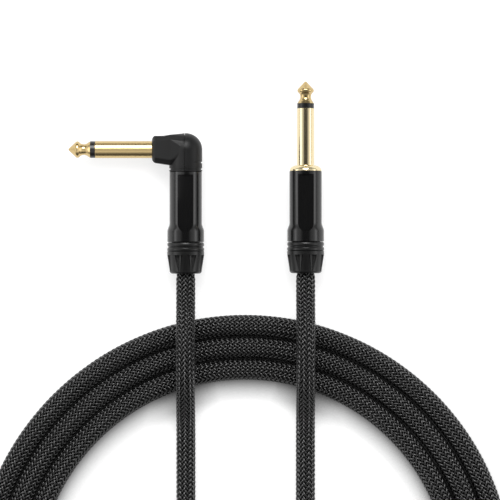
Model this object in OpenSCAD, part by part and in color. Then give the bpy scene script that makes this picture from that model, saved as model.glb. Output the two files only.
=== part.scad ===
// Instrument cable, 6.35 mm straight plug to 6.35 mm right-angle plug, lying on
// a flat surface with its braided cord in a flat coil of three turns.
// Millimetres. Z = 0 is the surface. The plugs point along Y, side by side, and
// the origin lies below the middle of the pair.

/* [Finger] */
// Diameter of the sleeve contact
finger_d = 6.35; // [6.1:0.01:6.6]
// Length of the finger from its shoulder to the point of the tip
finger_len = 31; // [28:0.5:36]
// Length of the tip contact in front of the insulating ring
tip_len = 8.1; // [7.6:0.1:9]
// Thickness of the insulating ring behind the tip
ring_len = 1.8; // [1:0.1:2.6]
// Radius of the ball of the tip
ball_r = 3.08; // [2.9:0.01:3.15]
// Radius of the neck behind the ball
neck_r = 2; // [1.7:0.05:2.3]
// Radius of the rod that joins the tip to its solder tag
rod_r = 1.25; // [1:0.05:1.5]
// Wall of the insulating tube around the rod
tube_wall = 0.75; // [0.5:0.05:0.9]
// Height of the domed collar on the straight plug
collar_h = 2.1; // [1.5:0.1:3]
// Thickness of the solder tags
tag_t = 0.45; // [0.3:0.05:0.6]
// Thickness of the rear insulating bush
bush_t = 2.2; // [1.6:0.1:3]

/* [Shell] */
// Outer radius of the shell tube
shell_r = 6; // [5.8:0.05:6.4]
// Length of the shell from its front face to the boot
shell_len = 26.2; // [25:0.2:30]
// Inner radius of the shell
bore_r = 4.6; // [4.5:0.05:4.7]
// Outer radius of the wide rear end of the shell
wide_r = 6.8; // [6.6:0.05:7.2]
// Distance from the front face to the start of the flare
flare_at = 19.2; // [18:0.2:20]
// Length of the flare
flare_len = 3.1; // [2:0.1:3.6]
// Distance of the recessed flat plate from the shell's axis
flat_at = 5.25; // [5.2:0.05:5.5]
// Width of the recessed flat plate
flat_w = 5.8; // [4:0.1:6.4]
// Distance from the front face to the start of the flat plate
flat_from = 1.3; // [0.8:0.1:4]
// Distance from the front face to the tapered end of the flat plate
flat_len = 22.4; // [16:0.2:22.4]

/* [Boot] */
// Length of the screw-on boot behind the shell
boot_len = 11.6; // [11:0.1:14]
// Largest radius of the boot
boot_r = 6.85; // [6.6:0.05:7.3]
// Radius of the boot where its taper ends
boot_end_r = 6; // [5.7:0.05:6.3]
// Length of the bead in front of the boot's ring groove
bead_len = 1.6; // [1.4:0.1:2]
// Number of flutes around the boot
flute_count = 8; // [5:1:10]
// Width of a flute at its wide end
flute_w = 3.3; // [2:0.1:3.6]
// Distance from the boot's front edge to the wide end of the flutes
flute_at = 4.7; // [4.2:0.1:5]
// Length of the flutes
flute_len = 6.2; // [5:0.1:6.4]
// Distance of a flute's floor from the axis at its wide end
flute_floor = 5.45; // [5.35:0.05:5.8]
// Length of the screw nose that goes into the shell
nose_len = 3.2; // [3:0.1:3.4]
// Travel of the boot when it is unscrewed
boot_travel = 3; // [1:0.5:3]

/* [Chuck] */
// Length of the cord chuck
chuck_len = 14; // [12:0.5:15]
// Distance that the chuck reaches into the boot
chuck_reach = 6; // [5:0.1:6.2]
// Width of the slits between the chuck's fingers
slit_w = 0.7; // [0.4:0.1:1]
// Width of the key that stops the chuck from turning
key_w = 1.2; // [0.8:0.1:1.6]

/* [Right-angle head] */
// Height of the finger's axis above the head's lower face
finger_rise = 8.1; // [7.8:0.1:9]
// Distance from the shell's axis to the face of the snout
snout_reach = 12.45; // [12:0.1:14]
// Outer radius of the head
head_r = 6.1; // [6:0.05:6.4]
// Half the height of the snout
snout_half = 4.95; // [4.7:0.05:5.2]
// Half the depth of the snout
snout_depth = 4.9; // [4.8:0.05:5.3]
// Size of the snout's long chamfers
snout_cut = 1.85; // [1:0.05:2.2]
// Thickness of the snout's front wall
snout_wall = 1; // [0.8:0.1:1.5]
// Place of the seam between the head and its rear cap
seam_x = -0.4; // [-1:0.1:0]

/* [Cord] */
// Outer diameter of the braided cord
cord_d = 7; // [6.8:0.05:7.1]
// Radius of the jacket under the braid
jacket_r = 2.75; // [2.6:0.01:2.9]
// Radius of the screen under the jacket
screen_r = 1.8; // [1.6:0.05:2]
// Radius of the core's insulation
core_r = 1.4; // [1.2:0.05:1.5]
// Radius of the conductor
conductor_r = 0.55; // [0.4:0.05:0.65]
// Radius at which the coil begins
coil_r = 76.8; // [76:0.1:79]
// Distance between neighbouring turns
coil_pitch = 8.2; // [7.8:0.05:8.6]

/* [Lay] */
// Distance between the two shells' axes
plug_gap = 44.4; // [42:0.1:47]
// How much further back the right-angle plug's shell lies
plug_step = 0.2; // [0:0.1:2]

/* [Hidden] */
$fn = 64;

// Colours
gold = [0.84, 0.68, 0.38];
black_metal = [0.17, 0.17, 0.17];
black_rubber = [0.13, 0.13, 0.13];
black_plastic = [0.1, 0.1, 0.12];
natural_nylon = [0.55, 0.55, 0.52];
braid_black = [0.09, 0.09, 0.1];
copper = [0.72, 0.45, 0.3];
core_grey = [0.75, 0.75, 0.72];

// Clearances: parts that are pressed together, and parts that slide
fit = 0.05;
slide = 0.1;
eps = 0.01;

finger_r = finger_d / 2;
sleeve_len = finger_len - tip_len - ring_len;
rivet_r = 1.75;
rivet_h = 0.5;
insulator_r = rod_r + fit + tube_wall;
cord_r = cord_d / 2;

// Lengthways stations of a shell, measured back from its front face
boot_front = shell_len + slide;
plug_back = boot_front + boot_len;
nose_r = bore_r + 0.7;
socket_r = nose_r + slide;
socket_deep = nose_len + 0.3;
spigot_len = 6;
bevel = 0.25;

// The chuck, measured back from the shell's front face
chuck_back = boot_front + chuck_reach;
chuck_front = chuck_back - chuck_len;
chuck_r = bore_r - slide;
grip_r = cord_r + fit;
taper_len = 5;
taper_r = grip_r + 0.4;
key_h = 0.45;
key_len = 3.2;
seat_r = taper_r + slide;
mouth_len = boot_travel + 0.5;
mouth_r = cord_r / cos(22.5) + 0.2;

// The right-angle head
wall_seam = 0.1;
lip_r = (bore_r + head_r) / 2;
spigot_h = 2;
groove_w = 0.6;
groove_d = 0.4;
head_groove_z = 0.85;
cap_groove_z = 3.3;
cap_groove_x = 2.3;
neck_hole_r = 2.75;
snout_spigot_r = 3.85;
snout_spigot_len = 4;

// Where the layers of the cord end inside a plug, measured back from the front face
braid_end = chuck_front + 1.8;
jacket_end = chuck_front + 0.6;
screen_end = chuck_front - 0.9;

// Where the plugs lie: the box around the pair is centred on the origin
axis_z = max(boot_r, wide_r);
angle_x = (snout_reach + finger_len - plug_gap - axis_z) / 2;
straight_x = angle_x + plug_gap;
straight_y = (plug_back + plug_step - collar_h - finger_len) / 2;
angle_y = straight_y - plug_step;

function arc(centre, r, from, to, steps) = [
    for (i = [0:steps])
        let (a = from + (to - from) * i / steps)
            [centre[0] + r * cos(a), centre[1] + r * sin(a)]
];

function unit(v) = v / norm(v);

// Lays a plug down: its own +Z becomes +Y, and its -Y side faces up
module lay_plug(x, y) {
    translate([x, y, axis_z])
        rotate([-90, 0, 0])
            children();
}

module at_straight() {
    lay_plug(straight_x, straight_y) children();
}

module at_angle() {
    lay_plug(angle_x, angle_y) children();
}

module at_straight_finger() {
    at_straight() translate([0, 0, collar_h]) children();
}

// The right-angle finger leaves the head towards -X
module at_angle_finger() {
    at_angle()
        translate([-snout_reach, 0, finger_rise])
            rotate([0, -90, 0])
                children();
}

module tube(r_out, r_in, from, to) {
    translate([0, 0, from])
        difference() {
            cylinder(r = r_out, h = to - from);
            translate([0, 0, -1])
                cylinder(r = r_in, h = to - from + 2);
        }
}

module ring_groove(z, r, width, depth) {
    translate([0, 0, z - width / 2])
        difference() {
            cylinder(r = r + 1, h = width);
            translate([0, 0, -1])
                cylinder(r = r - depth, h = width + 2);
        }
}

// ---- Finger: every z is measured from the shoulder, towards the tip ----

// Pointed ball, waisted neck and the rod that runs back through the sleeve and is
// riveted over behind its solder tag
module finger_tip(rod_back) {
    nose_r0 = 0.6;
    shoulder = 1;
    waist = 2.3;
    ball_z = finger_len - 3.35;
    waist_z = finger_len - 5.7;
    color(gold)
        rotate_extrude()
            polygon(concat(
                [[0, -rod_back - rivet_h], [rivet_r, -rod_back - rivet_h]],
                [[rivet_r, -rod_back], [rod_r, -rod_back], [rod_r, finger_len - tip_len]],
                [[finger_r - 0.08, finger_len - tip_len]],
                arc([neck_r + waist, waist_z], waist, 222, 138, 8),
                arc([ball_r - shoulder, ball_z], shoulder, -58, 45, 9),
                arc([0, finger_len - nose_r0], nose_r0, 45, 75, 2),
                [[0, finger_len]]
            ));
}

// Insulating ring in one piece with the tube around the rod
module finger_insulator(tube_back) {
    color(black_plastic)
        difference() {
            union() {
                translate([0, 0, sleeve_len])
                    cylinder(r = finger_r - 0.06, h = ring_len);
                translate([0, 0, -tube_back])
                    cylinder(r = insulator_r, h = sleeve_len + tube_back + eps);
            }
            translate([0, 0, -tube_back - 1])
                cylinder(r = rod_r + fit, h = sleeve_len + tube_back + ring_len + 2);
        }
}

module sleeve_bore(back) {
    translate([0, 0, -back - 1])
        cylinder(r = insulator_r + fit, h = sleeve_len + back + 2);
}

module sleeve_barrel(back) {
    edge = 0.12;
    translate([0, 0, -back])
        cylinder(r = finger_r, h = sleeve_len + back - edge);
    translate([0, 0, sleeve_len - edge])
        cylinder(r1 = finger_r, r2 = finger_r - edge, h = edge);
}

// Sleeve of the straight plug, with its domed collar and the spigot in the shell
module collared_sleeve() {
    dome_r = shell_r - 0.05;
    dome_h = collar_h - 0.1;
    steps = 8;
    back = collar_h + spigot_len;
    color(gold)
        difference() {
            union() {
                sleeve_barrel(collar_h);
                rotate_extrude()
                    polygon(concat(
                        [[0, -collar_h], [dome_r, -collar_h]],
                        [for (i = [steps:-1:1])
                            [
                                finger_r + (dome_r - finger_r) * sin(90 * i / steps),
                                -dome_h * (1 - cos(90 * i / steps))
                            ]],
                        [[finger_r, 0], [finger_r - 1, 0], [0, -1]]
                    ));
                translate([0, 0, -back])
                    cylinder(r = bore_r - fit, h = spigot_len + eps);
            }
            sleeve_bore(back);
        }
}

// Sleeve of the right-angle plug: its neck passes the snout's front wall, and the
// wide spigot behind the wall holds it
module plain_sleeve() {
    back = snout_wall + snout_spigot_len;
    color(gold)
        difference() {
            union() {
                sleeve_barrel(0);
                translate([0, 0, -snout_wall - eps])
                    cylinder(r = neck_hole_r - fit, h = snout_wall + 1);
                translate([0, 0, -back])
                    cylinder(r = snout_spigot_r, h = snout_spigot_len);
            }
            sleeve_bore(back);
        }
}

// Bush that keeps the two solder tags apart, notched for the ground tag's arm
module rear_bush(r, front, arm_at, arm_w) {
    color(natural_nylon)
        difference() {
            tube(r, insulator_r + fit, front - bush_t, front);
            translate([-r - 1, -arm_w / 2 - slide, front - bush_t - 1])
                cube([r + 1 - arm_at, arm_w + 2 * slide, bush_t + 2]);
        }
}

// ---- Shell, boot and chuck: every z is measured from the shell's front face ----

arm_w = 2.4;
arm_t = 0.45;
ground_washer_r = 3.7;

// Outline of the shell from its front edge back, as radius and z
function shell_outline() = concat(
    [[shell_r - 0.25, 0], [shell_r, -0.25]],
    [for (i = [0:8])
        let (s = i / 8)
            [
                shell_r + (wide_r - shell_r) * (1 - cos(180 * s)) / 2,
                -flare_at - flare_len * s
            ]],
    [[wide_r, bevel - shell_len], [wide_r - bevel, -shell_len]]
);

// Half of the flat plate's outline: a parallel tongue that tapers at its rear end
function flat_outline(side) = let (
    half = flat_w / 2,
    end = -min(flat_len, shell_len - socket_deep - 0.3)
) [
    [side * half, -flat_from],
    [side * half, end + 2.8],
    [side * half * 0.92, end + 1.9],
    [side * half * 0.72, end + 0.85],
    [side * half * 0.42, end]
];

module flat_recess() {
    left = flat_outline(-1);
    translate([0, -flat_at, 0])
        rotate([90, 0, 0])
            linear_extrude(height = wide_r)
                polygon(concat(
                    flat_outline(1),
                    [for (i = [len(left) - 1:-1:0]) left[i]]
                ));
}

module plug_shell(spigot) {
    key_back = shell_len - socket_deep + 1;
    color(black_metal)
        difference() {
            union() {
                rotate_extrude()
                    polygon(concat([[0, 0]], shell_outline(), [[0, -shell_len]]));
                if (spigot) {
                    translate([0, 0, -eps])
                        cylinder(r = lip_r - slide, h = spigot_h);
                }
            }
            translate([0, 0, -shell_len - 1])
                cylinder(r = bore_r, h = shell_len + spigot_h + 2);
            translate([0, 0, -shell_len - 1])
                cylinder(r = socket_r, h = socket_deep + 1);
            translate([-key_w / 2 - slide, 0, -key_back])
                cube([key_w + 2 * slide, chuck_r + key_h + slide, key_back - chuck_front + 1]);
            flat_recess();
        }
}

// Outline of the boot from its front edge back, as radius and z
function boot_outline() = let (
    front = -boot_front,
    groove_r = boot_r - 0.38,
    body = front - bead_len - 0.45,
    line = front - 3.2,
    back = -plug_back,
    round_r = 1.1
) concat(
    [for (i = [0:8])
        [
            groove_r + 0.36 * pow(sin(180 * i / 8), 0.6),
            front - bead_len * i / 8
        ]],
    [[groove_r, body + 0.2], [boot_r - 0.13, body], [boot_r, body - 0.25]],
    [[boot_r, line + 0.22], [boot_r - 0.22, line], [boot_r, line - 0.22]],
    [[boot_r, front - flute_at + 0.1]],
    [[boot_end_r + (boot_r - boot_end_r) * 0.4, back + round_r + 2.6]],
    arc([boot_end_r - round_r, back + round_r], round_r, 8, -78, 5)
);

// The bore holds the chuck's cone, then opens into a mouth around the cord
module boot_bore() {
    cone_front = -boot_front - chuck_reach + taper_len;
    cone_back = -boot_front - chuck_reach;
    rotate_extrude()
        polygon([
            [0, 1 + nose_len - boot_front],
            [chuck_r + slide, 1 + nose_len - boot_front],
            [chuck_r + slide, cone_front],
            [seat_r, cone_back],
            [seat_r, cone_back - 0.3],
            [grip_r + slide, cone_back - 0.3],
            [grip_r + slide, mouth_len - plug_back],
            [mouth_r, mouth_len - plug_back],
            [mouth_r, 0.4 - plug_back],
            [mouth_r + 0.3, -plug_back - eps],
            [mouth_r + 0.3, -plug_back - 1],
            [0, -plug_back - 1]
        ]);
}

// A flute is a round scoop that narrows and gets shallow towards the cord
module flute() {
    wide = flute_w / 2;
    narrow = 0.55;
    lean = atan((wide - narrow - 0.2) / flute_len);
    intersection() {
        translate([0, -flute_floor - wide, -boot_front - flute_at])
            rotate([lean, 0, 0])
                translate([0, 0, -flute_len])
                    cylinder(r1 = narrow, r2 = wide, h = flute_len);
        translate([-flute_w, -2 * boot_r, -plug_back])
            cube([2 * flute_w, 2 * boot_r, boot_len - flute_at]);
    }
}

module plug_boot() {
    color(black_rubber)
        difference() {
            union() {
                rotate_extrude()
                    polygon(concat(
                        [[0, -boot_front]],
                        boot_outline(),
                        [[0, -plug_back]]
                    ));
                translate([0, 0, -boot_front - eps])
                    cylinder(r = nose_r, h = nose_len + eps - 0.3);
                translate([0, 0, nose_len - boot_front - 0.3])
                    cylinder(r1 = nose_r, r2 = nose_r - 0.3, h = 0.3);
            }
            boot_bore();
            for (i = [0:flute_count - 1]) {
                rotate([0, 0, (i + 0.5) * 360 / flute_count])
                    flute();
            }
        }
}

// Split collet with gripping rings inside and a key that slides in the shell
module plug_chuck() {
    tooth_gap = 1.6;
    slit_front = chuck_front + 5;
    color(natural_nylon)
        difference() {
            union() {
                rotate_extrude()
                    polygon([
                        [0, -chuck_front],
                        [chuck_r - 0.3, -chuck_front],
                        [chuck_r, -chuck_front - 0.3],
                        [chuck_r, taper_len - chuck_back],
                        [taper_r, -chuck_back],
                        [0, -chuck_back]
                    ]);
                translate([-key_w / 2, chuck_r - 0.5, -chuck_front - key_len])
                    cube([key_w, key_h + 0.5, key_len - 0.4]);
            }
            translate([0, 0, -chuck_back - 1])
                cylinder(r = grip_r, h = chuck_len + 2);
            for (i = [0:4]) {
                translate([0, 0, -chuck_back + 1 + i * tooth_gap])
                    cylinder(r = grip_r + 0.2, h = tooth_gap / 2);
            }
            for (a = [45, 135]) {
                rotate([0, 0, a])
                    translate([-slit_w / 2, -chuck_r - 1, -chuck_back - 1])
                        cube([slit_w, 2 * chuck_r + 2, chuck_back - slit_front + 1]);
            }
        }
}

// ---- Solder tags ----

// Trough that holds the conductor, open towards the viewer
module solder_cup(from, to) {
    difference() {
        tube(conductor_r + 0.3 + tag_t, conductor_r + 0.3, from, to);
        translate([-5, -5, from - 1])
            cube([10, 5, to - from + 2]);
    }
}

cup_len = 4.6;

// The straight plug's tip tag: a washer under the rod's rivet, and a strap that
// steps back around the rivet to hold the cup on the axis
tip_tag_z = -spigot_len - tag_t - bush_t;
tag_step = 1.8;
straight_cup_top = tip_tag_z - tag_t - tag_step;
tip_tag_r = 2.8;

module straight_tip_tag_shape() {
    strap_x = tip_tag_r - 0.35 - tag_t;
    cup_r = conductor_r + 0.3 + tag_t;
    color(gold)
        union() {
            tube(tip_tag_r, rod_r + fit, tip_tag_z - tag_t, tip_tag_z);
            translate([strap_x, -1, straight_cup_top])
                cube([tag_t, 2, tip_tag_z - straight_cup_top]);
            translate([-cup_r, -cup_r, straight_cup_top])
                cube([strap_x + tag_t + cup_r, 2 * cup_r, tag_t]);
            solder_cup(straight_cup_top - cup_len, straight_cup_top + eps);
        }
}

// Ground tag: washer behind the sleeve and an arm along the shell's wall
module straight_ground_tag_shape() {
    arm_x = bore_r - 0.75;
    arm_back = jacket_end - 1.2;
    color(gold)
        difference() {
            union() {
                tube(bore_r - 0.3, insulator_r + fit, -spigot_len - tag_t, -spigot_len);
                translate([-arm_x - arm_t / 2, -arm_w / 2, -arm_back])
                    cube([arm_t, arm_w, arm_back - spigot_len - tag_t + eps]);
            }
            translate([-bore_r - 1, 0, 1.6 - arm_back])
                rotate([0, 90, 0])
                    cylinder(r = 0.6, h = bore_r);
        }
}

// The right-angle plug's tags bend from the finger's axis down into the shell
angle_back_x = -snout_reach + snout_wall + snout_spigot_len;
cup_top = finger_rise - rivet_r - tag_t - 0.1;
cup_bottom = cup_top - cup_len;

module angle_tip_tag_shape() {
    plate_x = angle_back_x + tag_t + bush_t;
    shelf_z = cup_top - eps;
    color(gold)
        union() {
            translate([plate_x, 0, finger_rise])
                rotate([0, 90, 0])
                    tube(tip_tag_r, rod_r + fit, 0, tag_t);
            translate([plate_x, -arm_w / 2, shelf_z])
                cube([1.2 - plate_x, arm_w, tag_t]);
            difference() {
                solder_cup(cup_bottom, cup_top);
                translate([-5, -5, cup_top])
                    cube(10);
            }
        }
}

module angle_ground_tag_shape() {
    arm_x = bore_r - 0.75;
    arm_back = jacket_end - 1.2;
    shelf_z = finger_rise - ground_washer_r;
    color(gold)
        union() {
            translate([angle_back_x, 0, finger_rise])
                rotate([0, 90, 0])
                    tube(ground_washer_r, insulator_r + fit, 0, tag_t);
            translate([angle_back_x + eps, -arm_w / 2, shelf_z])
                cube([-arm_x + arm_t / 2 - angle_back_x - eps, arm_w, arm_t]);
            translate([-arm_x - arm_t / 2, -arm_w / 2, -arm_back])
                cube([arm_t, arm_w, shelf_z + arm_back + arm_t]);
        }
}

// ---- Right-angle head ----

// Round body of the head: a tube with a ball end on the finger's axis
module head_body(r, from) {
    translate([0, 0, from])
        cylinder(r = r, h = finger_rise - from);
    translate([0, 0, finger_rise])
        sphere(r = r);
}

// Slice of the snout: an octagon across X, smaller by inset, and reaching further
// above by rise and below by drop
module snout_slice(x, inset, rise, drop) {
    deep = snout_depth - inset;
    cut = snout_cut - inset * 0.4;
    top = snout_half - inset + rise;
    low = inset - snout_half - drop;
    translate([x, 0, finger_rise])
        rotate([90, 0, 90])
            linear_extrude(height = 0.02)
                polygon([
                    [-deep, top - cut], [cut - deep, top],
                    [deep - cut, top], [deep, top - cut],
                    [deep, low + cut], [deep - cut, low],
                    [cut - deep, low], [-deep, low + cut]
                ]);
}

// Straight snout with a rounded front, and its blend into the ball end
module snout() {
    waist_x = 4.15 - snout_reach;
    root_x = 0.5 - head_r;
    hull() {
        snout_slice(-snout_reach, 1.4, 0, 0);
        snout_slice(0.2 - snout_reach, 0.8, 0, 0);
        snout_slice(0.55 - snout_reach, 0.3, 0, 0);
        snout_slice(1.05 - snout_reach, 0, 0, 0);
        snout_slice(waist_x, 0, 0, 0.48);
    }
    hull() {
        snout_slice(waist_x, 0, 0, 0.48);
        snout_slice(root_x, 0, 0.45, 0.89);
    }
    hull() {
        snout_slice(root_x, 0, 0.45, 0.89);
        translate([0, 0, finger_rise])
            sphere(r = head_r - 0.05, $fn = 32);
    }
}

module head_cavity() {
    head_body(bore_r, -1);
    translate([0, 0, -1])
        cylinder(r = lip_r, h = spigot_h + 1 + slide);
}

module left_of(x) {
    translate([x - 40, -20, -20])
        cube([40, 40, 60]);
}

module angle_head_shape() {
    color(black_metal)
        difference() {
            union() {
                difference() {
                    head_body(head_r, 0);
                    ring_groove(head_groove_z, head_r, groove_w, groove_d);
                }
                snout();
            }
            head_cavity();
            difference() {
                head_body(lip_r + fit, spigot_h);
                left_of(seam_x - 1.4);
            }
            translate([-snout_reach - 1, 0, finger_rise])
                rotate([0, 90, 0])
                    cylinder(r = neck_hole_r, h = snout_reach);
            translate([-snout_reach + snout_wall, 0, finger_rise])
                rotate([0, 90, 0])
                    cylinder(r = snout_spigot_r + fit, h = snout_reach);
            translate([seam_x - wall_seam, -20, -20])
                cube([40, 40, 60]);
        }
}

// Rear half of the head, with a lip that reaches behind the seam
module angle_cap_shape() {
    color(black_metal)
        difference() {
            union() {
                difference() {
                    head_body(head_r, 0);
                    ring_groove(head_groove_z, head_r, groove_w, groove_d);
                    difference() {
                        ring_groove(cap_groove_z, head_r, groove_w, groove_d);
                        left_of(cap_groove_x);
                    }
                    left_of(seam_x + wall_seam);
                }
                difference() {
                    head_body(lip_r, spigot_h + 2 * slide);
                    left_of(seam_x - 1.3);
                }
            }
            head_cavity();
        }
}

// ---- Ends of the cord inside the plugs ----

module cord_layer(r_out, r_in, end) {
    tube(r_out, r_in, -plug_back, -end);
}

// Screen under the jacket: a strap of it turns outwards in front of the chuck, and
// its twisted tail is soldered to the ground tag
module screen_layer() {
    tail_r = 0.5;
    tail_x = bore_r - 0.75 - arm_t / 2 - tail_r - 0.02;
    tail_len = 4.6;
    strap_h = 0.6;
    strap_in = screen_r - 0.3;
    color(copper)
        union() {
            tube(screen_r, core_r + fit, -plug_back, -screen_end);
            translate([-tail_x, -tail_r, -screen_end - strap_h])
                cube([tail_x - strap_in, 2 * tail_r, strap_h]);
            translate([-tail_x, 0, -screen_end - strap_h])
                cylinder(r = tail_r, h = tail_len);
        }
}

module conductor(end) {
    color(copper)
        translate([0, 0, -plug_back])
            cylinder(r = conductor_r, h = plug_back + end);
}

// ---- Free cord ----

coil_x = 19.3;
coil_y = -151.4;
coil_from = 300;
rings_per_turn = 24;
coil_rings = 68;

// Flat spiral that widens by one pitch a turn
coil_path = [
    for (i = [0:coil_rings])
        let (
            a = coil_from + 360 * i / rings_per_turn,
            r = coil_r + coil_pitch * i / rings_per_turn
        )
            [coil_x + r * cos(a), coil_y + r * sin(a), cord_r]
];
coil_start = unit(coil_path[1] - coil_path[0]);
coil_finish = unit(coil_path[coil_rings] - coil_path[coil_rings - 1]);

// Height of the cord on its way over the three turns, as distance from the middle
// turn towards the coil's centre and height above the surface
crossing = [
    [-25.5, axis_z], [-21.2, 7.2], [-17.1, 8.1], [-13, 9.8], [-8.5, 11.4], [-4.2, 12.1],
    [0, 12.4], [4.2, 12.2], [8.4, 11.7], [13.2, 10.2], [18.2, 7.6], [23, 5.1],
    [27.6, 3.9], [32.6, cord_r]
];

// Routes on the surface inside the coil, with X measured from the plug's own axis
angle_route = [
    [0, -115], [0, -132], [0, -149], [0, -166], [0, -183.4], [2.5, -197.7],
    [9.8, -210.3], [20.9, -219.4], [34.3, -223.9], [48.4, -222.9]
];
straight_route = [
    [-57.2, -245.2, 3.6], [-44.3, -249.4, 4.6], [-36, -250.4, 7], [-27.9, -249.5, 9.4],
    [-20.3, -246.8, 11], [-12, -241.2, 11.6], [-5.5, -233.5, 11.5], [-1.4, -224.3, 11.3],
    [0, -214.4, 8.9], [0, -207, 6.1], [0, -200, 4.5], [0, -193, 3.7], [0, -186, cord_r],
    [0, -170, cord_r], [0, -153, cord_r], [0, -136, cord_r], [0, -118, cord_r]
];

// Where a run at this X lies over the middle turn
function middle_turn_y(x) =
    coil_y + sqrt(pow(coil_r + 1.42 * coil_pitch, 2) - pow(x - coil_x, 2));

function over_coil(x) = [for (p = crossing) [x, middle_turn_y(x) - p[0], p[1]]];

angle_path = concat(
    [[angle_x, angle_y - plug_back, axis_z]],
    over_coil(angle_x),
    [for (p = angle_route) [angle_x + p[0], p[1], cord_r]],
    [coil_path[0]]
);

straight_path = concat(
    [coil_path[coil_rings]],
    [for (p = straight_route) [straight_x + p[0], p[1], p[2]]],
    [for (i = [len(crossing) - 1:-1:0]) over_coil(straight_x)[i]],
    [[straight_x, straight_y - plug_back, axis_z]]
);

// Cross-section whose flat side lies down, as wide and as high as the cord
function cord_section(sides) = let (
    turn = sides == 6 ? 0 : 180 / sides,
    wide = cord_r / cos(turn),
    high = cord_r / sin(sides == 6 ? 60 : 90 - turn)
) [for (k = [0:sides - 1])
    [wide * cos(turn + 360 * k / sides), high * sin(turn + 360 * k / sides)]];

// Ring of points around a place on the cord, square to its heading
function cord_ring(place, heading, section) = let (
    side = unit(cross(heading, [0, 0, 1])),
    up = cross(side, heading)
) [for (s = section) place + s[0] * side + s[1] * up];

function heading_at(path, i, first, last) =
    i == 0 ? first
    : i == len(path) - 1 ? last
    : unit(path[i + 1] - path[i - 1]);

// One closed tube of triangles along a path
module cord_tube(path, sides, first, last) {
    section = cord_section(sides);
    n = len(path);
    points = [
        for (i = [0:n - 1])
            each cord_ring(path[i], heading_at(path, i, first, last), section)
    ];
    walls = [
        for (i = [0:n - 2])
            for (k = [0:sides - 1])
                let (a = i * sides + k, b = i * sides + (k + 1) % sides)
                    each [[a, b, a + sides], [b, b + sides, a + sides]]
    ];
    near_end = [for (k = [1:sides - 2]) [0, k + 1, k]];
    far_end = [for (k = [1:sides - 2]) let (m = (n - 1) * sides) [m, m + k, m + k + 1]];
    color(braid_black)
        polyhedron(points, concat(walls, near_end, far_end));
}

// Least distance from a point to the segment between two others
function to_segment(p, a, b) = let (
    ab = b - a,
    t = max(0, min(1, (p - a) * ab / (ab * ab)))
) norm(p - a - t * ab);

// Least gap between two stretches of cord; near neighbours on one path are left out
function least_gap(path, other, skip) = min([
    for (i = [0:len(path) - 1])
        for (j = [0:len(other) - 2])
            if (skip == 0 || abs(i - j) > skip)
                to_segment(path[i], other[j], other[j + 1])
]) - cord_d;

function inner(path) = [for (i = [3:len(path) - 4]) path[i]];

echo(coil_gap_to_itself = least_gap(coil_path, coil_path, rings_per_turn / 2));
echo(angle_run_gap_to_coil = least_gap(inner(angle_path), coil_path, 0));
echo(straight_run_gap_to_coil = least_gap(inner(straight_path), coil_path, 0));
echo(gap_between_runs = least_gap(inner(angle_path), inner(straight_path), 0));

// ---- Nodes ----

straight_rod = collar_h + spigot_len + 2 * tag_t + bush_t;
angle_rod = snout_wall + snout_spigot_len + 2 * tag_t + bush_t;
straight_bush_z = collar_h + spigot_len + tag_t;
angle_bush_z = snout_wall + snout_spigot_len + tag_t;

module straight_tip() {
    at_straight_finger() finger_tip(straight_rod);
}

module straight_tip_insulator() {
    at_straight_finger() finger_insulator(straight_bush_z + bush_t);
}

module straight_sleeve() {
    at_straight_finger() collared_sleeve();
}

module straight_rear_insulator() {
    at_straight() rear_bush(bore_r - fit, -spigot_len - tag_t, bore_r - 1.15, arm_w);
}

module straight_tip_tag() {
    at_straight() straight_tip_tag_shape();
}

module straight_ground_tag() {
    at_straight() straight_ground_tag_shape();
}

module straight_shell() {
    at_straight() plug_shell(false);
}

module straight_chuck() {
    at_straight() plug_chuck();
}

module straight_boot() {
    at_straight() plug_boot();
}

module straight_cord_braid() {
    color(braid_black) at_straight() cord_layer(cord_r, jacket_r + fit, braid_end);
}

module straight_cord_jacket() {
    color(black_rubber) at_straight() cord_layer(jacket_r, screen_r + fit, jacket_end);
}

module straight_cord_screen() {
    at_straight() screen_layer();
}

straight_core_end = cup_len + 0.3 - straight_cup_top;

module straight_cord_core() {
    color(core_grey) at_straight() cord_layer(core_r, conductor_r + fit, straight_core_end);
}

module straight_cord_conductor() {
    at_straight() conductor(straight_cup_top - 0.2);
}

module angle_tip() {
    at_angle_finger() finger_tip(angle_rod);
}

module angle_tip_insulator() {
    at_angle_finger() finger_insulator(angle_bush_z + bush_t);
}

module angle_sleeve() {
    at_angle_finger() plain_sleeve();
}

module angle_rear_insulator() {
    at_angle_finger()
        rear_bush(snout_spigot_r, -angle_bush_z, ground_washer_r - arm_t - 0.1, arm_w);
}

module angle_tip_tag() {
    at_angle() angle_tip_tag_shape();
}

module angle_ground_tag() {
    at_angle() angle_ground_tag_shape();
}

module angle_head() {
    at_angle() angle_head_shape();
}

module angle_rear_cap() {
    at_angle() angle_cap_shape();
}

module angle_shell() {
    at_angle() plug_shell(true);
}

module angle_chuck() {
    at_angle() plug_chuck();
}

module angle_boot() {
    at_angle() plug_boot();
}

module angle_cord_braid() {
    color(braid_black) at_angle() cord_layer(cord_r, jacket_r + fit, braid_end);
}

module angle_cord_jacket() {
    color(black_rubber) at_angle() cord_layer(jacket_r, screen_r + fit, jacket_end);
}

module angle_cord_screen() {
    at_angle() screen_layer();
}

module angle_cord_core() {
    color(core_grey) at_angle() cord_layer(core_r, conductor_r + fit, 0.3 - cup_bottom);
}

module angle_cord_conductor() {
    at_angle() conductor(cup_top - 0.2);
}

module cord_angle_run() {
    cord_tube(angle_path, 8, [0, -1, 0], coil_start);
}

module cord_coil() {
    cord_tube(coil_path, 6, coil_start, coil_finish);
}

module cord_straight_run() {
    cord_tube(straight_path, 8, coil_finish, [0, 1, 0]);
}

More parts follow.
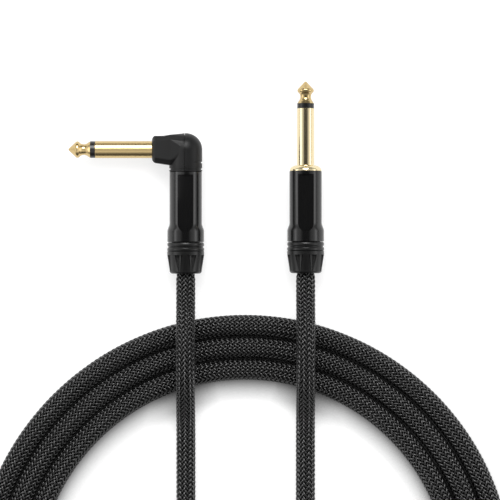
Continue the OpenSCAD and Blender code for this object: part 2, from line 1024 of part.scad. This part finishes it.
straight_tip();
straight_tip_insulator();
straight_sleeve();
straight_rear_insulator();
straight_tip_tag();
straight_ground_tag();
straight_shell();
straight_chuck();
straight_boot();
straight_cord_braid();
straight_cord_jacket();
straight_cord_screen();
straight_cord_core();
straight_cord_conductor();
angle_tip();
angle_tip_insulator();
angle_sleeve();
angle_rear_insulator();
angle_tip_tag();
angle_ground_tag();
angle_head();
angle_rear_cap();
angle_shell();
angle_chuck();
angle_boot();
angle_cord_braid();
angle_cord_jacket();
angle_cord_screen();
angle_cord_core();
angle_cord_conductor();
cord_angle_run();
cord_coil();
cord_straight_run();
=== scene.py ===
import math

import bpy
import numpy as np
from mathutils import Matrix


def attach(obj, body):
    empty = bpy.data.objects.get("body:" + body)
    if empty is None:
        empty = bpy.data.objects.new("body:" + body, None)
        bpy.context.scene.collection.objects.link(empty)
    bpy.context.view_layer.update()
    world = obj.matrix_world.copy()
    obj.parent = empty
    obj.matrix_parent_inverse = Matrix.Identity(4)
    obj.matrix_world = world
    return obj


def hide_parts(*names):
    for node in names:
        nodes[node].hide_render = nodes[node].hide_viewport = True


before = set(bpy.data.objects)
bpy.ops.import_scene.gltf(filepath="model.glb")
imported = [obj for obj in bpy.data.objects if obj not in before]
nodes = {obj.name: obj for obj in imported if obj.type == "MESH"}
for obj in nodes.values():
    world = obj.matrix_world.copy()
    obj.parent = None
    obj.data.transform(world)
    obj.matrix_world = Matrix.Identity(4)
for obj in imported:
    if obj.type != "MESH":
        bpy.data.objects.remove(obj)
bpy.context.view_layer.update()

# ---- Camera ----
# The cable lies flat and is looked at from straight above, through a long lens. The view
# is a square of this width at the height of the plugs' axes.
MM = 0.001
axis_z = 6.85
view_centre = (0.0199, -0.0268)
view_width = 0.1852
lens = 200

camera_data = bpy.data.cameras.new("camera")
camera_data.lens = lens
camera = bpy.data.objects.new("camera", camera_data)
camera.location = (*view_centre, axis_z * MM + view_width * lens / camera_data.sensor_width)
bpy.context.scene.collection.objects.link(camera)
bpy.context.scene.camera = camera

# ---- Line of the cord ----
# The cord leaves the right-angle plug, drops over the coil onto the table, feeds the
# innermost of three flat turns, and climbs back over them to the straight plug. Its
# sizes and places are in millimetres.
cord_d = 7.0
cord_r = cord_d / 2
angle_x, straight_x = -3.9, 40.5
angle_mouth_y, straight_mouth_y = -35.6, -35.4
# From a boot's mouth inwards: to the cord's cut end, and to a point that holds it straight
held_inside = 17.8
straight_inside = 6
# The spiral starts at this angle in degrees, and the runs cross its middle turn so many
# turns on
coil_centre = np.array([19.3, -151.4])
coil_r, coil_pitch, coil_from = 76.8, 8.2, 300
stations_a_turn, coil_stations = 24, 68
turns_to_middle = 1.42
# The line is kept at points this far apart, picked from a curve drawn more finely
line_step = 0.3
samples_a_step = 4

# A run over the coil: how much nearer the centre than the middle turn, and how high
crossing = np.array([
    [-25.5, axis_z], [-21.2, 7.2], [-17.1, 8.1], [-13, 9.8], [-8.5, 11.4], [-4.2, 12.1],
    [0, 12.4], [4.2, 12.2], [8.4, 11.7], [13.2, 10.2], [18.2, 7.6], [23, 5.1],
    [27.6, 3.9], [32.6, cord_r],
])
# From the right-angle plug's crossing into the coil, flat on the table: x is from its plug
angle_route = np.array([
    [0, -115], [0, -132], [0, -149], [0, -166], [0, -183.4], [2.5, -197.7],
    [9.8, -210.3], [20.9, -219.4], [34.3, -223.9], [48.4, -222.9],
])
# From the coil over its own turns to the straight plug's crossing: x is from its plug
straight_route = np.array([
    [-57.2, -245.2, 3.6], [-44.3, -249.4, 4.6], [-36, -250.4, 7], [-27.9, -249.5, 9.4],
    [-20.3, -246.8, 11], [-12, -241.2, 11.6], [-5.5, -233.5, 11.5], [-1.4, -224.3, 11.3],
    [0, -214.4, 8.9], [0, -207, 6.1], [0, -200, 4.5], [0, -193, 3.7], [0, -186, cord_r],
    [0, -170, cord_r], [0, -153, cord_r], [0, -136, cord_r], [0, -118, cord_r],
])


def in_plug(x, mouth_y):
    """Points of a run from its end inside the plug, straight out to the boot's mouth."""
    return [[x, mouth_y + inside, axis_z] for inside in (held_inside, straight_inside, 0)]


def over_coil(x):
    """Points of a run at this x where it rides over the three turns: each lies a given
    distance nearer the coil's centre than the middle turn, at a given height."""
    middle_r = coil_r + turns_to_middle * coil_pitch
    middle_y = coil_centre[1] + math.sqrt(middle_r**2 - (x - coil_centre[0]) ** 2)
    y = middle_y - crossing[:, 0]
    return np.column_stack([np.full(len(y), x), y, crossing[:, 1]])


def coil_points():
    """Flat spiral: the angle grows evenly and the radius by one pitch a turn."""
    step = np.arange(coil_stations + 1)
    turned = np.radians(coil_from + 360 * step / stations_a_turn)
    radius = coil_r + coil_pitch * step / stations_a_turn
    x = coil_centre[0] + radius * np.cos(turned)
    y = coil_centre[1] + radius * np.sin(turned)
    return np.column_stack([x, y, np.full(len(x), cord_r)])


def distances(points):
    """Distance along a chain of points, from its first to each of them."""
    return np.concatenate([[0], np.cumsum(np.linalg.norm(np.diff(points, axis=0), axis=1))])


def smooth_line(points, spacing):
    """Curve through the points, evenly sampled: each stretch is a cubic that leaves and
    meets its points along the line between their neighbours. It never dips below the
    height at which the cord lies on the table."""
    at = distances(points)
    heading = np.gradient(points, at, axis=0)
    t = np.linspace(0, at[-1], int(at[-1] / spacing * samples_a_step))
    i = np.clip(np.searchsorted(at, t, side="right") - 1, 0, len(at) - 2)
    wide = (at[i + 1] - at[i])[:, None]
    u = ((t - at[i]) / (at[i + 1] - at[i]))[:, None]
    line = (
        (2 * u**3 - 3 * u**2 + 1) * points[i]
        + (u**3 - 2 * u**2 + u) * wide * heading[i]
        + (3 * u**2 - 2 * u**3) * points[i + 1]
        + (u**3 - u**2) * wide * heading[i + 1]
    )
    line[:, 2] = np.maximum(line[:, 2], cord_r)
    along = distances(line)
    even = np.linspace(0, along[-1], int(along[-1] / spacing) + 1)
    return even, np.column_stack([np.interp(even, along, line[:, k]) for k in range(3)])


route = np.vstack([
    in_plug(angle_x, angle_mouth_y),
    over_coil(angle_x),
    np.column_stack([angle_route + [angle_x, 0], np.full(len(angle_route), cord_r)]),
    coil_points(),
    straight_route + [straight_x, 0, 0],
    over_coil(straight_x)[::-1],
    in_plug(straight_x, straight_mouth_y)[::-1],
])
line_s, line_at = smooth_line(route, line_step)
line_heading = np.gradient(line_at, axis=0)
line_heading /= np.linalg.norm(line_heading, axis=1, keepdims=True)
line_side = np.cross(line_heading, [0, 0, 1])
line_side /= np.linalg.norm(line_side, axis=1, keepdims=True)
line_up = np.cross(line_side, line_heading)


def on_line(s):
    """Place, heading, side and up of the cord's line at the distances s along it."""
    return [
        np.stack([np.interp(s, line_s, part[:, k]) for k in range(3)], axis=-1)
        for part in (line_at, line_heading, line_side, line_up)
    ]


# ---- Jacket of the cord ----
# Soft extruded jacket around the screened conductor. Only its black shows, in the
# gaps of the braid that is worked over it.
jacket_r = 2.75
jacket_sides = 12
jacket_step = 2.5
cord_ends = held_inside, line_s[-1] - held_inside
cord_length = cord_ends[1] - cord_ends[0]


def tube_faces(rings, sides):
    """Quads between neighbouring rings of points, which close on themselves."""
    i, k = np.meshgrid(np.arange(rings - 1), np.arange(sides), indexing="ij")
    a, b = i * sides + k, i * sides + (k + 1) % sides
    return np.stack([a, a + sides, b + sides, b], axis=-1).reshape(-1, 4)


def jacket_mesh(s):
    """Points and quads of a round tube along the cord's line: each ring is the line's
    place plus the radius times the cosine to the side and the sine upwards. A fan of
    quads closes each end."""
    place, _, side, up = on_line(s)
    turn = 2 * np.pi * np.arange(jacket_sides) / jacket_sides
    ring = (
        place[:, None]
        + jacket_r * np.cos(turn)[None, :, None] * side[:, None]
        + jacket_r * np.sin(turn)[None, :, None] * up[:, None]
    )
    points = ring.reshape(-1, 3)
    last = len(points) - jacket_sides
    fan = np.array([[0, k, k + 1, k + 2] for k in range(1, jacket_sides - 2, 2)])
    faces = np.vstack([tube_faces(len(s), jacket_sides), fan, last + fan[:, ::-1]])
    return points, faces


def mesh_piece(name, points, quads):
    """Smooth piece from an array of points in millimetres and an array of quads."""
    mesh = bpy.data.meshes.new(name)
    mesh.vertices.add(len(points))
    mesh.vertices.foreach_set("co", (points * MM).astype(np.float32).ravel())
    mesh.loops.add(quads.size)
    mesh.loops.foreach_set("vertex_index", quads.astype(np.int32).ravel())
    mesh.polygons.add(len(quads))
    mesh.polygons.foreach_set("loop_start", np.arange(0, quads.size, 4, dtype=np.int32))
    mesh.update(calc_edges=True)
    mesh.polygons.foreach_set("use_smooth", np.full(len(quads), True))
    piece = bpy.data.objects.new(name, mesh)
    bpy.context.scene.collection.objects.link(piece)
    return piece


def new_material(name, **inputs):
    """Material whose shader has these input values; its name is what it is made of."""
    material = bpy.data.materials.new(name)
    material.use_nodes = True
    shader = material.node_tree.nodes["Principled BSDF"]
    for key, value in inputs.items():
        shader.inputs[key.replace("_", " ")].default_value = value
    return material, material.node_tree, shader


def add_node(tree, kind, inputs=None, **settings):
    """Node of a material or of the world. An input is a number, a colour or the output
    of another node, and the settings are the node's own choices."""
    node = tree.nodes.new("ShaderNode" + kind)
    for key, value in settings.items():
        setattr(node, key, value)
    for key, value in (inputs or {}).items():
        if isinstance(value, bpy.types.NodeSocket):
            tree.links.new(value, node.inputs[key])
        else:
            node.inputs[key].default_value = value
    return node


def vary_roughness(tree, shader, pattern, smoothest, roughest):
    """Roughness that follows a pattern from one value to another."""
    rough = add_node(tree, "MapRange", {"Value": pattern, "To Min": smoothest, "To Max": roughest})
    tree.links.new(rough.outputs["Result"], shader.inputs["Roughness"])


jacket_s = np.linspace(*cord_ends, int(cord_length / jacket_step))
cord = mesh_piece("cord", *jacket_mesh(jacket_s))

jacket_black, tree, shader = new_material(
    "jacket_black", Base_Color=(0.003, 0.003, 0.003, 1), Roughness=0.75, Specular_IOR_Level=0.1
)
where = add_node(tree, "TexCoord")
chalk = add_node(tree, "TexNoise", {"Vector": where.outputs["Object"], "Scale": 1500})
vary_roughness(tree, shader, chalk.outputs["Fac"], smoothest=0.65, roughest=0.85)
cord.data.materials.append(jacket_black)
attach(cord, "cable")
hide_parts("cord_angle_run", "cord_coil", "cord_straight_run")

# ---- Braid of the cord ----
# Thirty-two flat bundles of black yarn, sixteen wound each way. Every bundle passes
# over two and under two of the others, which gives sixteen upright herringbone ribs.
pick = 1.77
bundles_each_way = 16
bundles_a_piece = 4
lead = pick * bundles_each_way
stations_a_lead = 64
bundle_w = 0.84
bundle_h = 0.42
section_w = np.array([-0.5, -0.3, 0, 0.3, 0.5]) * bundle_w
section_h = np.array([-0.5, 0.84, 1, 0.84, -0.5]) * bundle_h
section_n = len(section_w)
braid_r = 2.84
braid_swing = 0.34
swing_sharpness = 2.2
braid_slope = math.atan2(2 * math.pi * braid_r, lead)

# The braid is pushed together in the coil, and comes up to that over these lengths
braid_swell = 0.34
swell_in, swell_out = 90, 60
coil_s = [line_s[np.argmin(np.linalg.norm(line_at - end, axis=1))]
          for end in coil_points()[[0, -1]]]
swell_s = [coil_s[0] - swell_in, *coil_s, coil_s[1] + swell_out]

# It is gripped thinner in the chucks, over this length at each end
braid_squeeze = 0.26
grip_len = 2
grip_s = [cord_ends[0], cord_ends[0] + grip_len, cord_ends[1] - grip_len, cord_ends[1]]


def bundle(number, turning):
    """One bundle: a helix that makes a turn in each lead, to the left or the right. Its
    radius swings out over two crossings and in under the next two, and is larger in
    the coil, where the braid is pushed together, and smaller in the plugs, where it is
    gripped. Nothing goes below the table top."""
    s = (np.arange(int(line_s[-1] / lead * stations_a_lead)) + 0.5) * lead / stations_a_lead
    around = number / bundles_each_way + turning * s / lead
    column = 2 * bundles_each_way * around
    swing = np.tanh(swing_sharpness * np.cos(np.pi * (column - 0.5) / 2)) * turning
    swell = np.interp(s, swell_s, [0, 1, 1, 0])
    squeeze = np.interp(s, grip_s, [1, 0, 0, 1])
    place, heading, side, up = on_line(s)
    angle = 2 * np.pi * around[:, None]
    out = np.cos(angle) * side + np.sin(angle) * up
    ahead = (
        math.cos(braid_slope) * heading
        + turning * math.sin(braid_slope) * (np.cos(angle) * up - np.sin(angle) * side)
    )
    across = np.cross(ahead, out)
    middle = braid_r + braid_swell * swell - braid_squeeze * squeeze + braid_swing * swing
    radius = middle[:, None, None] + section_h[None, :, None]
    points = place[:, None] + radius * out[:, None] + section_w[None, :, None] * across[:, None]
    points[:, :, 2] = np.maximum(points[:, :, 2], 0)
    return points.reshape(-1, 3), s


def bundle_piece(name, members):
    """Several bundles in one mesh, with a map whose first axis runs along the yarn, a
    unit a lead, and whose second runs across it."""
    all_points, all_faces, all_maps, start = [], [], [], 0
    for number, turning in members:
        points, s = bundle(number, turning)
        i, k = np.meshgrid(np.arange(len(s) - 1), np.arange(section_n), indexing="ij")
        after = (k + 1) % section_n
        a, b = i * section_n + k, i * section_n + after
        faces = np.stack([a, b, b + section_n, a + section_n], axis=-1).reshape(-1, 4)
        u0, u1 = s[i] / lead + number, s[i + 1] / lead + number
        v0, v1 = k / (section_n - 1), after / (section_n - 1)
        all_points.append(points)
        all_faces.append(faces + start)
        all_maps.append(np.stack([u0, v0, u0, v1, u1, v1, u1, v0], axis=-1).reshape(-1, 2))
        start += len(points)
    piece = mesh_piece(name, np.vstack(all_points), np.vstack(all_faces))
    layer = piece.data.uv_layers.new(name="yarn")
    layer.uv.foreach_set("vector", np.vstack(all_maps).astype(np.float32).ravel())
    return piece


def colour_ramp(tree, source, stops):
    """Colour that follows a value through these stops, each a place and a colour."""
    node = add_node(tree, "ValToRGB", {"Fac": source})
    elements = node.color_ramp.elements
    while len(elements) < len(stops):
        elements.new(0.5)
    for element, (at, colour) in zip(elements, stops):
        element.position = at
        element.color = (*colour, 1)
    return node.outputs["Color"]


def grey_ramp(tree, source, stops):
    """Grey that follows a value through these stops, each a place and a level."""
    return colour_ramp(tree, source, [(at, [level] * 3) for at, level in stops])


def dent(tree, shader, pattern, strength, depth):
    """Dents that follow a pattern, of this depth in metres."""
    bump = add_node(tree, "Bump", {"Height": pattern, "Strength": strength, "Distance": depth})
    tree.links.new(bump.outputs["Normal"], shader.inputs["Normal"])


# The yarn's fibres are long streaks of a paler black, and each bundle's colour is lighter
# along its crest and near black at its edges: a painted highlight with painted shade
yarn_black, tree, shader = new_material(
    "yarn_black", Base_Color=(0.004, 0.004, 0.004, 1), Roughness=0.26, Specular_IOR_Level=0.8
)
yarn = add_node(tree, "UVMap", uv_map="yarn").outputs["UV"]
stretch = add_node(tree, "Mapping", {"Vector": yarn, "Scale": (14, 7, 1)})
fibres = add_node(
    tree, "TexNoise", {"Vector": stretch.outputs["Vector"], "Scale": 2.2, "Detail": 2}
).outputs["Fac"]
tint = colour_ramp(tree, fibres, [(0.3, (0.003, 0.003, 0.003)), (0.75, (0.018, 0.018, 0.0185))])
across = add_node(tree, "SeparateXYZ", {"Vector": yarn}).outputs["Y"]
# Painted highlight: full colour along the bundle's crest, falling almost to black at its edges
painted_crest_highlight = grey_ramp(tree, across, [(0.24, 0.03), (0.4, 1), (0.6, 1), (0.76, 0.03)])
# The streaks times the painted highlight
streaks_and_painted_highlight = add_node(
    tree, "Mix", {"Factor": 1.0, "A": tint, "B": painted_crest_highlight}, data_type="RGBA", blend_type="MULTIPLY"
)
tree.links.new(streaks_and_painted_highlight.outputs["Result"], shader.inputs["Base Color"])
dent(tree, shader, fibres, strength=0.35, depth=0.00008)

for turning, way in ((1, "left"), (-1, "right")):
    for first in range(0, bundles_each_way, bundles_a_piece):
        members = [(number, turning) for number in range(first, first + bundles_a_piece)]
        piece = bundle_piece(f"braid_{way}_{first // bundles_a_piece + 1}", members)
        piece.data.materials.append(yarn_black)
        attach(piece, "cable")
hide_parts("straight_cord_braid", "angle_cord_braid")

# ---- Gold-plated contacts ----
# Tips, sleeves and solder tags are turned or stamped brass with a thin bright plating,
# and keep fine rings from the lathe around each finger's axis.
pale_gold = (0.82, 0.7, 0.44, 1)
# The same plating darkened, a painted shade, for both tips and the right-angle plug's sleeve and
# tags
painted_shade_gold = (0.6, 0.45, 0.22, 1)
rings_a_metre = 9000
streaks_a_metre = 60
ring_strength = 0.12
ring_depth = 0.00002


def turned_gold(name, along, tint, smoothest, roughest):
    """Gold with lathe rings square to the finger's axis: noise that is fine along the
    axis and very long around it."""
    material, tree, shader = new_material(
        name, Base_Color=tint, Metallic=1.0, Roughness=(smoothest + roughest) / 2
    )
    where = add_node(tree, "TexCoord")
    scale = [rings_a_metre if axis == along else streaks_a_metre for axis in "XYZ"]
    stretch = add_node(tree, "Mapping", {"Vector": where.outputs["Object"], "Scale": scale})
    rings = add_node(
        tree, "TexNoise", {"Vector": stretch.outputs["Vector"], "Scale": 1, "Detail": 3}
    ).outputs["Fac"]
    vary_roughness(tree, shader, rings, smoothest, roughest)
    dent(tree, shader, rings, ring_strength, ring_depth)
    return material


def finish_node(material, *names):
    """Gives the material to these built parts."""
    for name in names:
        for slot in nodes[name].material_slots:
            slot.material = material


gold = turned_gold("gold_turned_upright", "Y", pale_gold, smoothest=0.12, roughest=0.22)
finish_node(gold, "straight_sleeve", "straight_tip_tag", "straight_ground_tag")
gold = turned_gold("gold_tip_upright", "Y", painted_shade_gold, smoothest=0.12, roughest=0.2)
finish_node(gold, "straight_tip")
# The right-angle plug's sleeve and tags take the darkened gold, a painted shade
gold = turned_gold("gold_turned_level", "X", painted_shade_gold, smoothest=0.2, roughest=0.28)
finish_node(gold, "angle_sleeve", "angle_tip_tag", "angle_ground_tag")
gold = turned_gold("gold_tip_level", "X", painted_shade_gold, smoothest=0.12, roughest=0.2)
finish_node(gold, "angle_tip")

# ---- Insulating rings ----
# Hard black plastic, moulded in one piece with the tube around the rod, and turned
# flush with the tip and the sleeve.
grain_strength = 0.12


def grainy(name, tint, grain_size, smoothest, roughest, depth, **inputs):
    """Material with an even fine grain, in metres: the grain varies the roughness
    between two values and dents the surface by the given depth."""
    material, tree, shader = new_material(
        name, Base_Color=(*tint, 1), Roughness=(smoothest + roughest) / 2, **inputs
    )
    where = add_node(tree, "TexCoord")
    grain = add_node(
        tree, "TexNoise",
        {"Vector": where.outputs["Object"], "Scale": 1 / grain_size, "Detail": 2},
    ).outputs["Fac"]
    vary_roughness(tree, shader, grain, smoothest, roughest)
    dent(tree, shader, grain, grain_strength, depth)
    return material


ring_black = grainy(
    "ring_black", (0.006, 0.006, 0.006), grain_size=0.0003,
    smoothest=0.2, roughest=0.3, depth=0.00001,
)
finish_node(ring_black, "straight_tip_insulator", "angle_tip_insulator")

# ---- Shells ----
# Turned metal tubes with a satin black coat and a flat sunk into one side. The boot
# screws into the back of each one.
shell_black = grainy(
    "shell_black", (0.004, 0.004, 0.0042), grain_size=0.00038,
    smoothest=0.14, roughest=0.22, depth=0.00003,
)
finish_node(shell_black, "straight_shell", "angle_shell")

# ---- Head of the right-angle plug ----
# Cast in two, the head with its snout and the rear cap, under the same black coat as
# the shells, which lies rougher on a casting.
head_black = grainy(
    "head_black", (0.005, 0.005, 0.0052), grain_size=0.00052,
    smoothest=0.34, roughest=0.46, depth=0.00004, Specular_IOR_Level=0.26,
)
finish_node(head_black, "angle_head", "angle_rear_cap")

# ---- Boots ----
# Moulded black plastic, a shade duller than the shells, with flutes for the fingers.
# Each one screws into its shell and squeezes the chuck onto the cord.
boot_black = grainy(
    "boot_black", (0.004, 0.004, 0.004), grain_size=0.0005,
    smoothest=0.26, roughest=0.36, depth=0.00004, Specular_IOR_Level=0.42,
)
finish_node(boot_black, "straight_boot", "angle_boot")

# ---- Chucks and bushes ----
# Milky moulded nylon: the split chuck that the boot squeezes onto the cord, and the
# bush that holds the contacts apart at the back of each finger.
nylon = grainy(
    "nylon_natural", (0.55, 0.54, 0.48), grain_size=0.0006,
    smoothest=0.42, roughest=0.56, depth=0.00003, Subsurface_Weight=0.15,
)
finish_node(nylon, "straight_chuck", "angle_chuck", "straight_rear_insulator",
            "angle_rear_insulator")

# ---- Layers of the cord inside the plugs ----
# Cut back step by step to the solder tags: black jacket, bare copper screen and
# conductor, and the white insulation between them.
finish_node(jacket_black, "straight_cord_jacket", "angle_cord_jacket")
copper = grainy(
    "copper_bare", (0.8, 0.42, 0.25), grain_size=0.0002,
    smoothest=0.28, roughest=0.42, depth=0.00005, Metallic=1.0,
)
finish_node(copper, "straight_cord_screen", "angle_cord_screen",
            "straight_cord_conductor", "angle_cord_conductor")
core_white = grainy(
    "core_white", (0.7, 0.7, 0.66), grain_size=0.0005,
    smoothest=0.45, roughest=0.55, depth=0.00002,
)
finish_node(core_white, "straight_cord_core", "angle_cord_core")

# ---- Floor ----
# Plain white table top that glows white to the camera and in reflections, with a painted
# shadow: beside things lying on it, its glow and colour are darkened by how closed in each
# place is, not by the lamps. It is grey to the light that it throws back, so that the
# black parts stay black.
floor_half = 3
floor_drop = 0.0001
glow_white = (0.86, 0.86, 0.86, 1)
table_pale = (0.3, 0.3, 0.3, 1)
table_grey = (0.5, 0.5, 0.5, 1)
shadow_black = (0, 0, 0, 1)
shadow_reach = 0.012
shadow_depth = 1.3
coil_reach = 0.12

floor_mesh = bpy.data.meshes.new("floor")
floor_mesh.from_pydata(
    [(x * floor_half, y * floor_half, 0) for x, y in ((-1, -1), (1, -1), (1, 1), (-1, 1))],
    [], [(0, 1, 2, 3)],
)
floor = bpy.data.objects.new("floor", floor_mesh)
floor.location.z = -floor_drop
bpy.context.scene.collection.objects.link(floor)


def arithmetic(tree, operation, *operands):
    """One step of arithmetic on outputs and numbers."""
    return add_node(
        tree, "Math", dict(enumerate(operands)), operation=operation
    ).outputs["Value"]


def blend(tree, share, first, second, kind="FLOAT"):
    """Blend of two numbers or two colours by a share."""
    return add_node(
        tree, "Mix", {"Factor": share, "A": first, "B": second}, data_type=kind
    ).outputs["Result"]


floor_white, tree, shader = new_material(
    "floor_white", Roughness=1.0, Specular_IOR_Level=0, Emission_Color=glow_white
)
floor_mesh.materials.append(floor_white)

# The painted shadow follows how closed in each place is by things near it, leaning in
# from the back
lean = add_node(tree, "CombineXYZ", {"Y": 0.5, "Z": 0.86})
openness = add_node(
    tree, "AmbientOcclusion", {"Normal": lean.outputs["Vector"], "Distance": shadow_reach},
    samples=16,
)
spread = add_node(
    tree, "MapRange", {"Value": openness.outputs["AO"], "From Min": 0.16, "From Max": 0.9}
)
painted_shadow = arithmetic(tree, "POWER", spread.outputs["Result"], shadow_depth)

# The painted shadow is full along the coil's turns, and faint well inside them and
# beyond them
where = add_node(tree, "TexCoord")
from_coil = add_node(
    tree, "VectorMath", {0: where.outputs["Object"], 1: (*coil_centre * MM, 0)},
    operation="DISTANCE",
)
by_coil = add_node(
    tree, "MapRange", {"Value": from_coil.outputs["Value"], "From Max": coil_reach}
)
share = grey_ramp(
    tree, by_coil.outputs["Result"], [(0.52, 0.2), (0.58, 1), (0.81, 1), (0.84, 0.2)]
)
painted_shadow_level = blend(tree, share, 1.0, painted_shadow)

# The camera and reflections see the glow and the painted shadow, and other rays meet
# plain grey
path = add_node(tree, "LightPath")
seen = arithmetic(tree, "MAXIMUM", path.outputs["Is Camera Ray"], path.outputs["Is Glossy Ray"])
pale = blend(tree, painted_shadow_level, shadow_black, table_pale, "RGBA")
shade = blend(tree, seen, table_grey, pale, "RGBA")
tree.links.new(shade, shader.inputs["Base Color"])
tree.links.new(arithmetic(tree, "MULTIPLY", painted_shadow_level, seen), shader.inputs["Emission Strength"])

# ---- Light ----
# The studio is a tent with a dark opening overhead, where the camera looks through it.
# Its sides glow most a third of the way up, its back high up, and its front hardly.
# Each curve gives the light by the height of the direction, from the horizon to overhead.
tent_side = [(0, 0.5), (0.18, 0.8), (0.31, 2.2), (0.38, 3.0), (0.46, 2.0), (0.56, 1.1),
             (0.7, 0.8), (0.81, 0.7), (0.875, 0.4), (0.93, 0.08), (1, 0.03)]
tent_back = [(0, 0.5), (0.3, 0.15), (0.52, 0.2), (0.75, 0.9), (0.88, 0.6), (0.94, 0.1),
             (1, 0.04)]
tent_front = [(0, 0.3), (0.1, 0.1), (0.35, 0.1), (0.6, 0.3), (0.78, 0.4), (0.9, 0.3),
              (0.94, 0.1), (1, 0.04)]
brightest = 3.0
side_narrowness = 2.5
lamp_direction = (0, 0.6, 0.8)
lamp_edge, lamp_core = 0.925, 0.975
lamp_level = 7.5

world = bpy.data.worlds.new("studio")
bpy.context.scene.world = world
world.use_nodes = True
tree = world.node_tree
sky = tree.nodes["Background"]
direction = add_node(tree, "TexCoord").outputs["Generated"]
x, y, height = add_node(tree, "SeparateXYZ", {"Vector": direction}).outputs


def tent_wall(curve):
    """Brightness of one wall of the tent, read from its curve at the direction's height,
    as a share of the brightest."""
    return grey_ramp(tree, height, [(at, level / brightest) for at, level in curve])


# Sideways is the share of x in the level part of the direction, and backward grows with y
x_squared = arithmetic(tree, "MULTIPLY", x, x)
y_squared = arithmetic(tree, "MULTIPLY", y, y)
sideways = arithmetic(tree, "DIVIDE", x_squared, arithmetic(tree, "ADD", x_squared, y_squared))
sideways = arithmetic(tree, "POWER", sideways, side_narrowness)
backward = arithmetic(tree, "MULTIPLY_ADD", y, 2.0, 0.5)
front_to_back = blend(tree, backward, tent_wall(tent_front), tent_wall(tent_back))
tent = blend(tree, sideways, front_to_back, tent_wall(tent_side))
tent = arithmetic(tree, "MULTIPLY", tent, brightest)

# A soft round lamp behind the plugs, and plain white where the camera sees the sky
towards = add_node(tree, "VectorMath", {0: direction, 1: lamp_direction},
                   operation="DOT_PRODUCT")
lamp = add_node(
    tree, "MapRange",
    {"Value": towards.outputs["Value"], "From Min": lamp_edge, "From Max": lamp_core,
     "To Max": lamp_level},
    interpolation_type="SMOOTHSTEP",
)
level = arithmetic(tree, "ADD", tent, lamp.outputs["Result"])
path = add_node(tree, "LightPath")
strength = blend(tree, path.outputs["Is Camera Ray"], level, 1.0)
tree.links.new(strength, sky.inputs["Strength"])
sky.inputs["Color"].default_value = (1, 1, 1, 1)

# A small soft card hangs over the finger and the head of the right-angle plug
card_data = bpy.data.lights.new("card", "AREA")
card_data.shape = "RECTANGLE"
card_data.size = 0.048
card_data.size_y = 0.036
card_data.energy = 0.0036
card = bpy.data.objects.new("card", card_data)
card.location = (-0.031, 0.0104, 0.029)
card.visible_camera = False
bpy.context.scene.collection.objects.link(card)
bpy.context.scene.view_settings.view_transform = "Standard"
